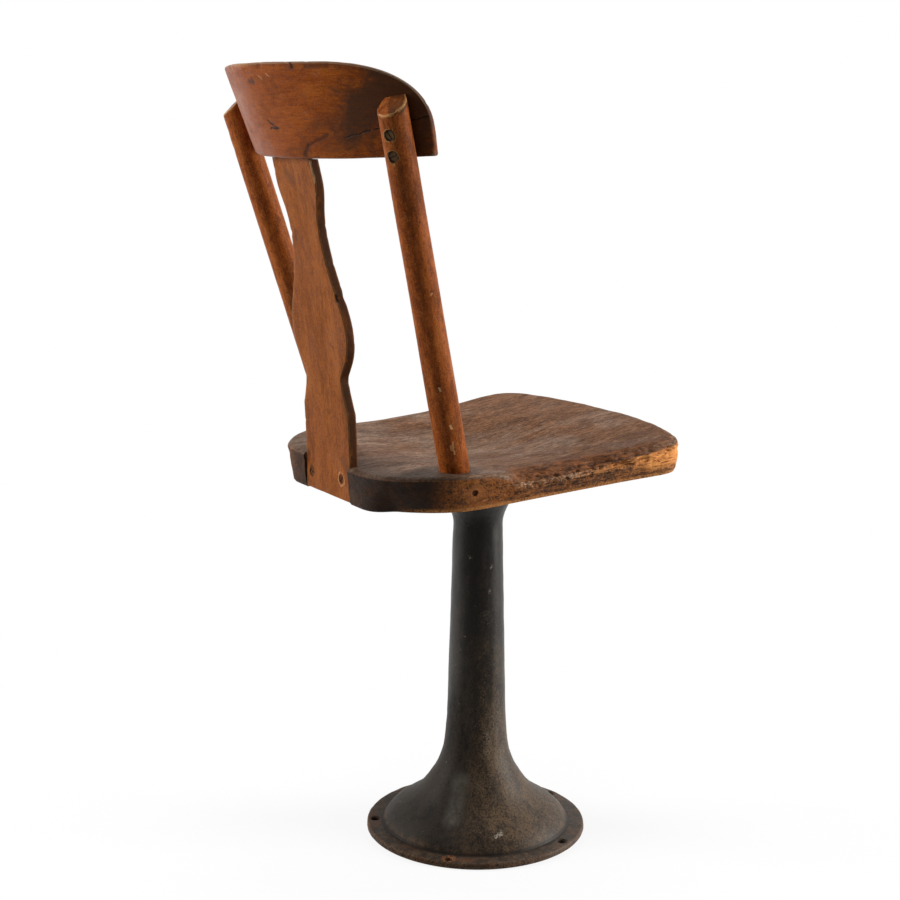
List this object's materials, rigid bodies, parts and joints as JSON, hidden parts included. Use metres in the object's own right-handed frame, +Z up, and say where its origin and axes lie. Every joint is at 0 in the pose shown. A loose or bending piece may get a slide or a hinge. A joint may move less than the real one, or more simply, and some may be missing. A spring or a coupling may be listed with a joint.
{
  "type": "school chair",
  "caption": "School chair whose dished wooden seat, round posts, shaped splat and curved crest rail swivel together on a flanged cast-iron floor pedestal.",
  "frame": {"origin": "on the floor, under the middle of the bounding box", "axes": "+Z up, the sitter faces -Y, +X is the sitter's left; the swivel axis is vertical, 44.0 mm in front of the origin"},
  "size_m": [0.3688, 0.4222, 0.81],
  "materials": {
    "cast_iron": "black paint worn to brown rust",
    "seat_wood": "worn, grey-brown, varnish left at the edges",
    "back_wood": "aged orange-brown varnish",
    "steel": "dull, lightly rusted",
    "brass": "turned"
  },
  "bodies": {
    "pedestal": {"pedestal": "cast_iron", "spindle_bush": "brass", "thrust_washer": "steel"},
    "seat": {"spindle": "steel", "keeper_washer": "steel", "split_pin": "steel", "seat_spider": "cast_iron", "spider_screw_1": "steel", "spider_screw_2": "steel", "spider_screw_3": "steel", "spider_screw_4": "steel", "seat": "seat_wood", "left_post": "back_wood", "right_post": "back_wood", "left_post_nail": "steel", "right_post_nail": "steel", "crest_rail": "back_wood", "left_crest_screw_1": "steel", "left_crest_screw_2": "steel", "right_crest_screw_1": "steel", "right_crest_screw_2": "steel", "splat": "back_wood", "splat_screw_1": "steel", "splat_screw_2": "steel"}
  },
  "joints": [
    {"name": "seat_swivel", "type": "hinge", "parent": "pedestal", "child": "seat", "pos_m": [0, -0.04351, 0.379], "axis": [0, 0, 1], "continuous": true}
  ]
}
